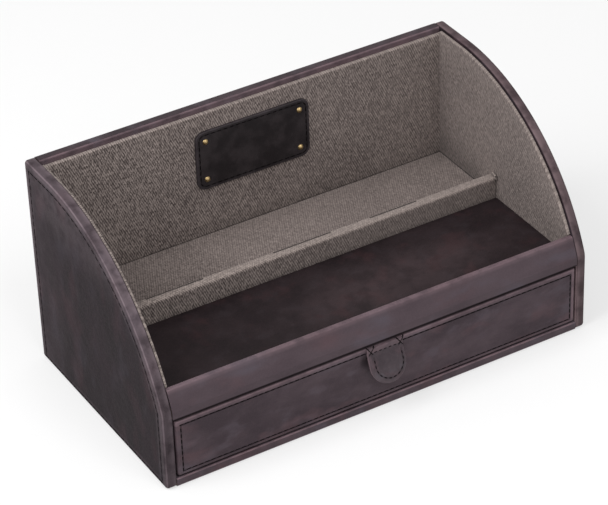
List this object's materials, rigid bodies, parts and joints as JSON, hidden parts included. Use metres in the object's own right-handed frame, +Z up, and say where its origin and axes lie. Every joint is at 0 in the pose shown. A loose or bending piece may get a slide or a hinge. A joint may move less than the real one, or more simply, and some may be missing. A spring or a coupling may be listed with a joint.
{
  "type": "desktop valet box with drawer",
  "caption": "Leather-covered valet box with arched sides, canvas-lined open compartments split by a bar, and a shallow full-width drawer with a leather pull tab.",
  "frame": {"origin": "on the ground under the middle of the case", "axes": "+X to the owner's right, -Y out of the drawer front, +Z up"},
  "size_m": [0.3, 0.1707, 0.1455],
  "materials": {
    "leather": "dark aubergine brown pull-up leather, oiled, with lighter worn edges",
    "lining_canvas": "taupe plain-weave canvas",
    "plaque_leather": "smooth near-black leather",
    "pin_brass": "satin brass",
    "board": "fibreboard",
    "base_felt": "dark felt",
    "slip_paper": "smooth backing sheet"
  },
  "bodies": {
    "case": {"side_board_left": "board", "side_cover_left": "leather", "lining_card_left": "board", "lining_canvas_left": "lining_canvas", "side_board_right": "board", "side_cover_right": "leather", "lining_card_right": "board", "lining_canvas_right": "lining_canvas", "back_board": "board", "back_cover": "leather", "back_lining_card": "board", "back_lining_canvas": "lining_canvas", "base_board": "board", "base_cover": "leather", "base_felt": "base_felt", "bay_slip_sheet": "slip_paper", "rail_board": "board", "rail_cover": "leather", "deck_board": "board", "tray_pad_core": "board", "tray_leather": "leather", "rear_floor_card": "board", "rear_floor_canvas": "lining_canvas", "divider_board": "board", "divider_canvas": "lining_canvas", "plaque": "plaque_leather", "plaque_pins": "pin_brass"},
    "drawer": {"drawer_front_board": "board", "drawer_front_cover": "leather", "drawer_side_left": "board", "drawer_side_right": "board", "drawer_back": "board", "drawer_bottom": "board", "drawer_floor_cloth": "lining_canvas", "drawer_wall_cloth": "lining_canvas", "tab_root": "leather"},
    "pull_tab": {"pull_tab": "leather"}
  },
  "joints": [
    {"name": "drawer_slide", "type": "slide", "parent": "case", "child": "drawer", "axis": [0, -1, 0], "range_m": [0, 0.12]},
    {"name": "tab_lift", "type": "hinge", "parent": "drawer", "child": "pull_tab", "pos_m": [0.0014, -0.0818, 0.0415], "axis": [-1, 0, 0], "range_deg": [-18, 65], "stiffness_Nm_per_rad": 0.002}
  ]
}
